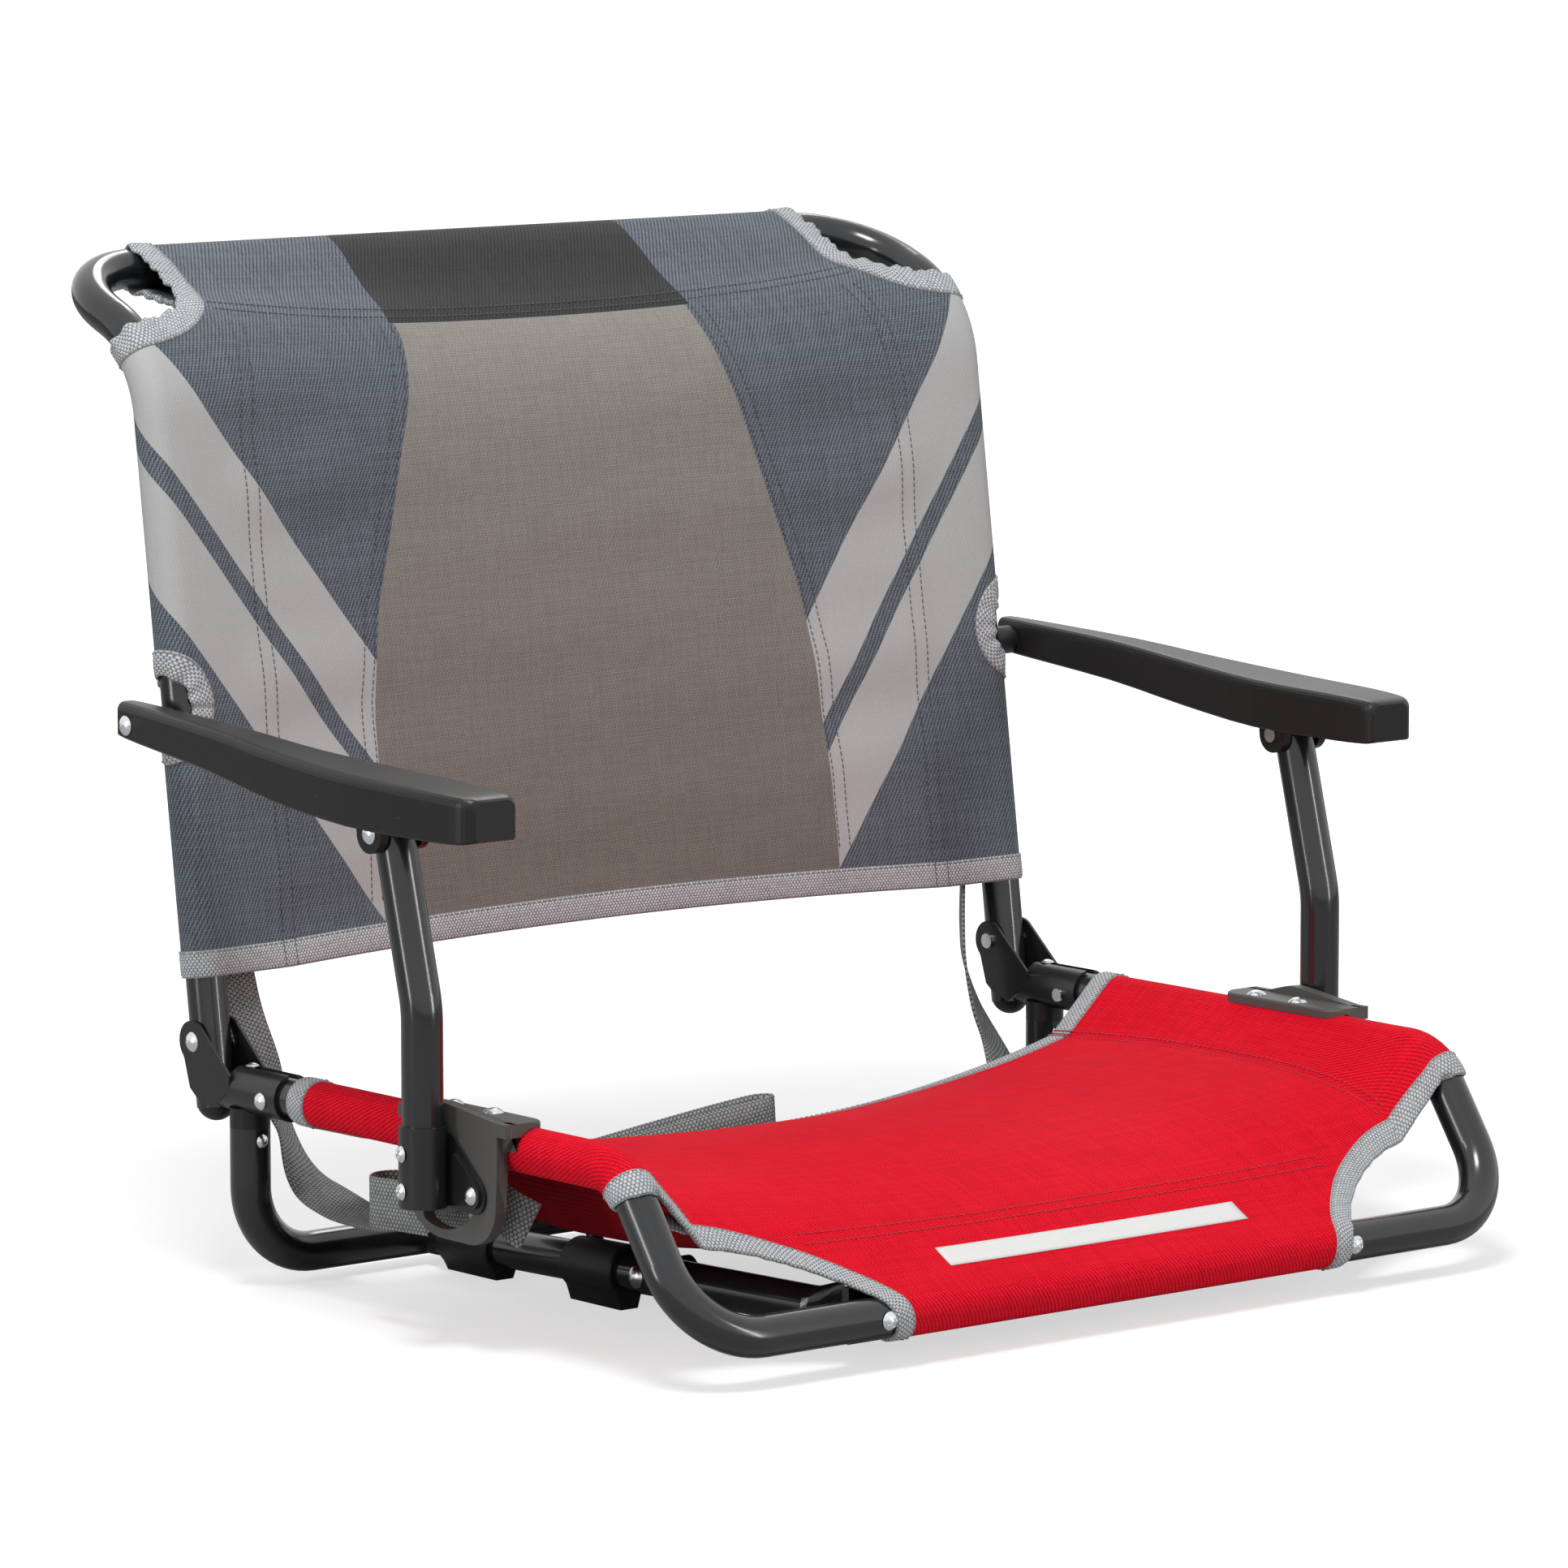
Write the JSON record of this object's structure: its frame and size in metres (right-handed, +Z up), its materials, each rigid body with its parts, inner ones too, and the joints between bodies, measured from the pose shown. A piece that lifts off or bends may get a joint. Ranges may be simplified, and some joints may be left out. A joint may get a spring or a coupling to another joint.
{
  "type": "bleacher chair",
  "caption": "Low folding bleacher chair with a sling seat, a fold-forward sling back, linked armrests on bent posts, a tube base with bench saddles and a swinging hook.",
  "frame": {"origin": "on the plane that the saddles rest on, in the middle of the outline", "axes": "+X to the sitter's left, -Y to the front, +Z up"},
  "size_m": [0.622, 0.5296, 0.5034],
  "materials": {
    "tube": "charcoal gloss powder coat",
    "satin": "satin black coat on pressed steel",
    "plastic": "fine-grained moulded plastic, dark grey",
    "cap": "moulded plastic, near black",
    "zinc": "bright zinc plate",
    "seat_cloth": "coated woven polyester, bright red",
    "back_cloth": "coated woven polyester and open mesh, slate grey"
  },
  "bodies": {
    "seat": {"seat_frame": "tube", "base_frame": "tube", "leg_collars": "plastic", "collar_screws": "zinc", "lower_tube_left": "tube", "lower_tube_right": "tube", "bench_glides": "cap", "hook_rivets": "zinc", "front_screws": "zinc", "front_nuts": "zinc", "hinge_bracket_left": "satin", "hinge_bracket_right": "satin", "hinge_rivets": "zinc", "bracket_rivets": "zinc", "bracket_screws": "zinc", "arm_clamp_left": "plastic", "arm_clamp_right": "plastic", "clamp_rivets": "zinc", "post_pivot_pins": "zinc", "seat_sling": "seat_cloth"},
    "back": {"back_frame": "tube", "post_caps": "cap", "back_sling": "back_cloth", "arm_rear_rivets": "zinc", "arm_spacers": "cap"},
    "arm_left": {"armrest_left": "plastic", "arm_front_rivet_left": "zinc"},
    "arm_right": {"armrest_right": "plastic", "arm_front_rivet_right": "zinc"},
    "post_left": {"arm_post_left": "tube", "post_bracket_left": "satin", "post_screws_left": "zinc", "slot_stud_left": "zinc"},
    "post_right": {"arm_post_right": "tube", "post_bracket_right": "satin", "post_screws_right": "zinc", "slot_stud_right": "zinc"},
    "hook": {"bench_hook": "satin"}
  },
  "joints": [
    {"name": "back_fold", "type": "hinge", "parent": "seat", "child": "back", "pos_m": [0, 0.12651, 0.12], "axis": [1, 0, 0], "range_deg": [0, 88]},
    {"name": "arm_left_turn", "type": "hinge", "parent": "back", "child": "arm_left", "pos_m": [0.29, 0.14773, 0.277], "axis": [1, 0, 0], "range_deg": [-88, 0]},
    {"name": "arm_right_turn", "type": "hinge", "parent": "back", "child": "arm_right", "pos_m": [-0.29, 0.14773, 0.277], "axis": [1, 0, 0], "range_deg": [-88, 0]},
    {"name": "post_left_turn", "type": "hinge", "parent": "seat", "child": "post_left", "pos_m": [0.29, -0.08549, 0.09], "axis": [1, 0, 0], "range_deg": [0, 88]},
    {"name": "post_right_turn", "type": "hinge", "parent": "seat", "child": "post_right", "pos_m": [-0.29, -0.08549, 0.09], "axis": [1, 0, 0], "range_deg": [0, 88]},
    {"name": "hook_swing", "type": "hinge", "parent": "seat", "child": "hook", "pos_m": [0, -0.08349, 0.01943], "axis": [1, 0, 0], "range_deg": [-95, 0]}
  ],
  "couplings": [
    {"joint": "arm_left_turn", "follows": "back_fold", "ratio": -1},
    {"joint": "arm_right_turn", "follows": "back_fold", "ratio": -1},
    {"joint": "post_left_turn", "follows": "back_fold", "ratio": 1},
    {"joint": "post_right_turn", "follows": "back_fold", "ratio": 1}
  ]
}
